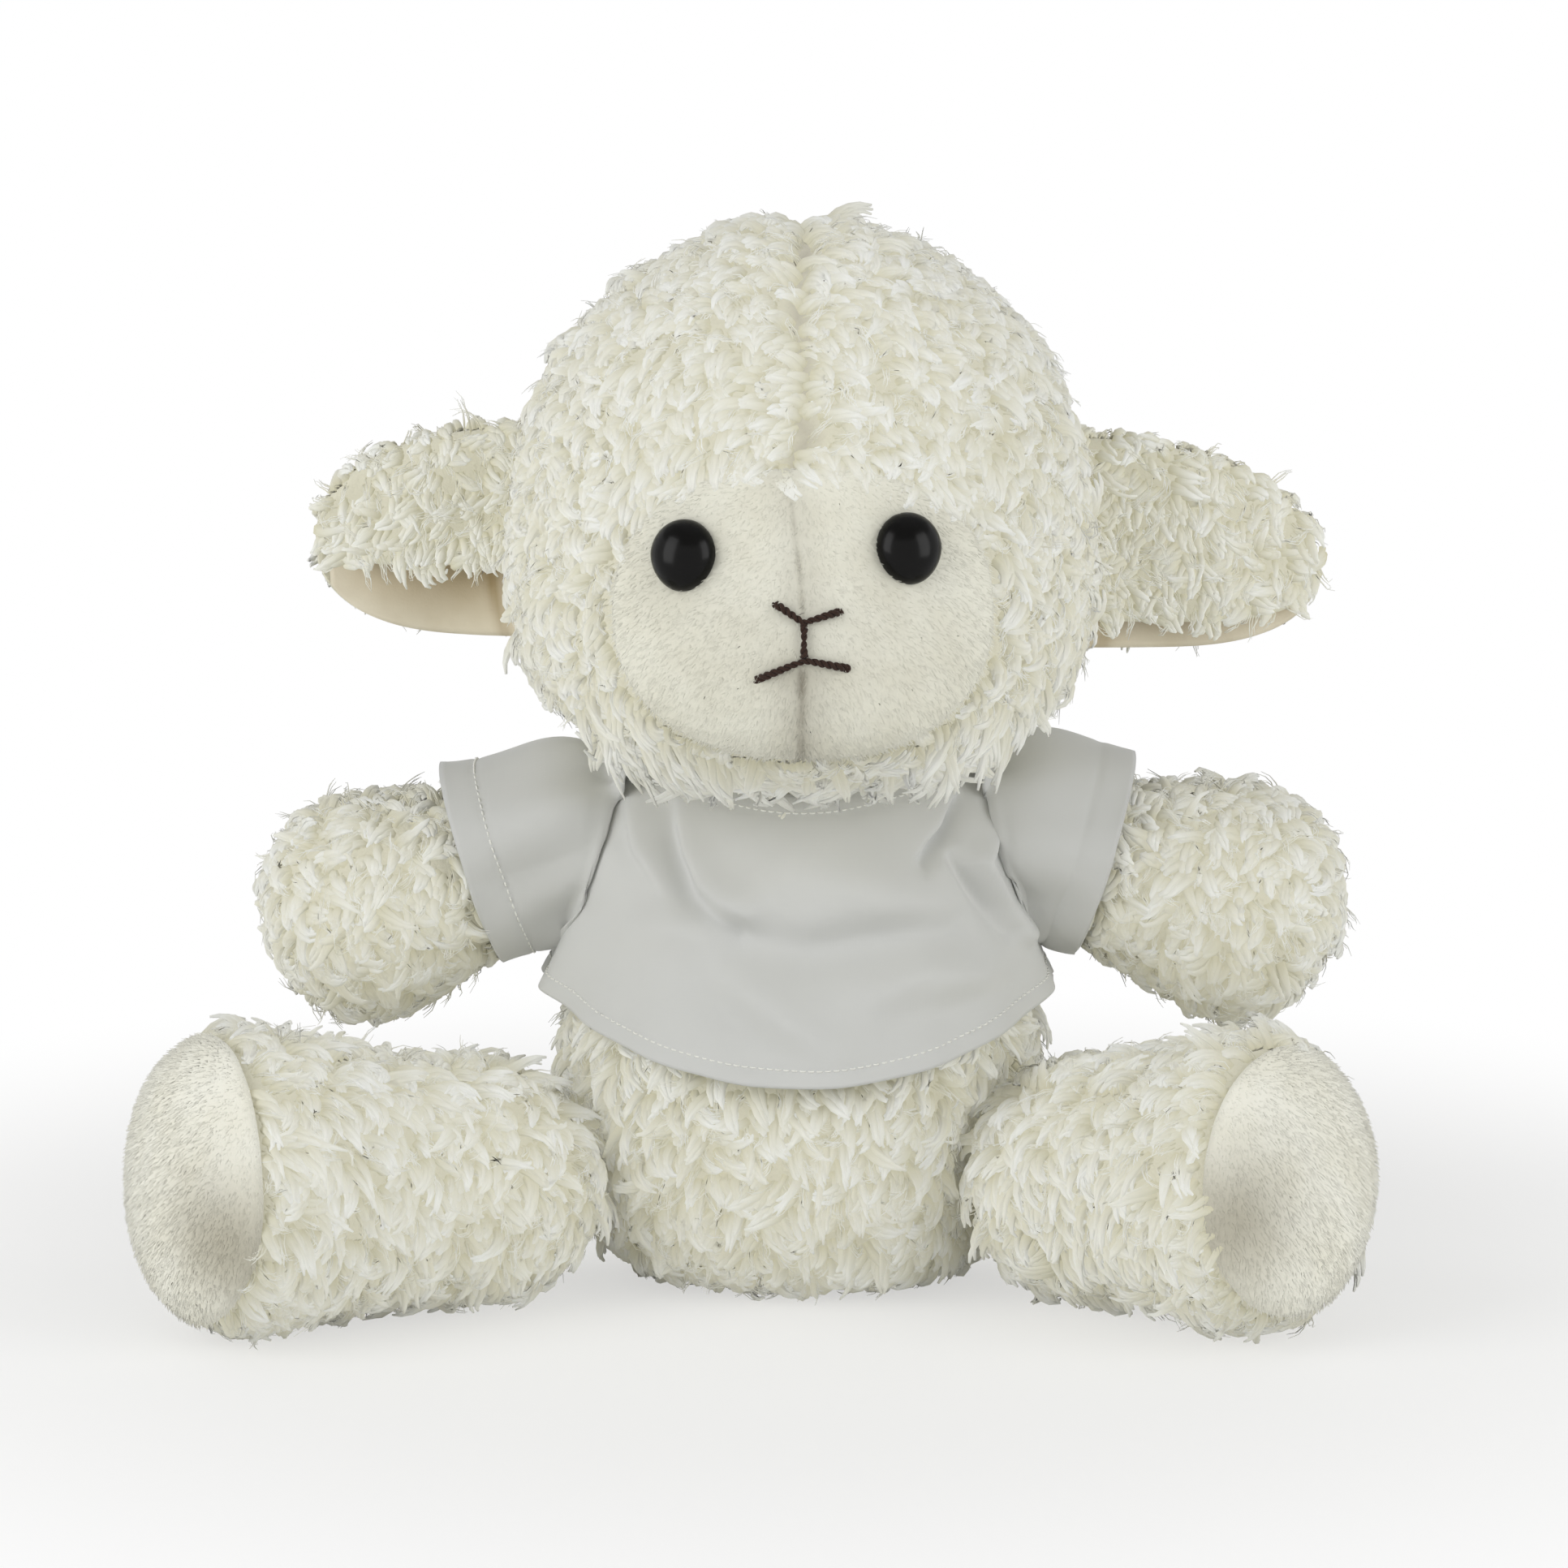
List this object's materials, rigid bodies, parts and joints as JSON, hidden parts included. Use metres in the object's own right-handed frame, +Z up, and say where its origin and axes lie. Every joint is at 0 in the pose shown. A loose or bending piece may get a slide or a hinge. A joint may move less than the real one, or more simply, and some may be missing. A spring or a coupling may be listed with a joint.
{
  "type": "plush toy",
  "caption": "Plush sheep sitting upright in a white T-shirt: chunky cream fleece, smooth stitched face, round black eyes, folded lined ears, soft limbs that move at their seams.",
  "frame": {"origin": "centre of the flat seat under the torso, at table level", "axes": "+Z up through the neck and the head; the face looks along -Y; +X is the toy's own left"},
  "size_m": [0.2705, 0.1445, 0.2385],
  "materials": {
    "fleece": "curly sherpa pile",
    "smooth_plush": "short velvety pile",
    "sole_plush": "short velvety pile",
    "ear_lining": "short velvety pile",
    "filling": "polyester fibre filling",
    "eye_gloss": "polished moulding",
    "washer": "moulded",
    "yarn": "twisted yarn",
    "thread": "sewing thread",
    "knit": "polyester jersey",
    "tape": "hook and loop"
  },
  "bodies": {
    "torso": {"body_skin": "fleece", "body_stuffing": "filling", "shirt_front": "knit", "shirt_back_left": "knit", "shirt_back_right": "knit", "hook_tape": "tape", "loop_tape": "tape"},
    "neck": {"neck_seam": "thread"},
    "head": {"head_cover": "fleece", "head_stuffing": "filling", "face_panel": "smooth_plush", "eye_left": "eye_gloss", "eye_right": "eye_gloss", "eye_washer_left": "washer", "eye_washer_right": "washer", "nose_stitch": "yarn", "lip_stitch": "yarn", "mouth_stitch": "yarn"},
    "ear_left": {"ear_left_outer": "fleece", "ear_left_lining": "ear_lining"},
    "ear_right": {"ear_right_outer": "fleece", "ear_right_lining": "ear_lining"},
    "arm_left": {"arm_left_skin": "fleece", "arm_left_stuffing": "filling", "sleeve_left": "knit"},
    "arm_right": {"arm_right_skin": "fleece", "arm_right_stuffing": "filling", "sleeve_right": "knit"},
    "leg_left": {"leg_left_skin": "fleece", "leg_left_stuffing": "filling", "sole_left": "sole_plush"},
    "leg_right": {"leg_right_skin": "fleece", "leg_right_stuffing": "filling", "sole_right": "sole_plush"}
  },
  "joints": [
    {"name": "head_turn", "type": "hinge", "parent": "torso", "child": "neck", "pos_m": [0, 0, 0.085], "axis": [0, 0, 1], "range_deg": [-20, 20], "stiffness_Nm_per_rad": 0.3},
    {"name": "head_nod", "type": "hinge", "parent": "neck", "child": "head", "pos_m": [0, 0, 0.085], "axis": [1, 0, 0], "range_deg": [-8, 5], "stiffness_Nm_per_rad": 0.6},
    {"name": "ear_left_swing", "type": "hinge", "parent": "head", "child": "ear_left", "pos_m": [0.06679, 0.002, 0.1645], "axis": [0, 0, 1], "range_deg": [-15, 15], "stiffness_Nm_per_rad": 0.02},
    {"name": "ear_right_swing", "type": "hinge", "parent": "head", "child": "ear_right", "pos_m": [-0.0667, 0.002, 0.167], "axis": [0, 0, -1], "range_deg": [-15, 15], "stiffness_Nm_per_rad": 0.02},
    {"name": "arm_left_raise", "type": "hinge", "parent": "torso", "child": "arm_left", "pos_m": [0.05256, 0, 0.09758], "axis": [0, -1, 0], "range_deg": [0, 10], "stiffness_Nm_per_rad": 0.15},
    {"name": "arm_right_raise", "type": "hinge", "parent": "torso", "child": "arm_right", "pos_m": [-0.05256, 0, 0.09758], "axis": [0, 1, 0], "range_deg": [0, 10], "stiffness_Nm_per_rad": 0.15},
    {"name": "leg_left_swing", "type": "hinge", "parent": "torso", "child": "leg_left", "pos_m": [0.06165, -0.02745, 0.0285], "axis": [0, 0, -1], "range_deg": [-10, 15], "stiffness_Nm_per_rad": 0.3},
    {"name": "leg_right_swing", "type": "hinge", "parent": "torso", "child": "leg_right", "pos_m": [-0.06988, -0.03111, 0.0285], "axis": [0, 0, 1], "range_deg": [-5, 20], "stiffness_Nm_per_rad": 0.3}
  ]
}
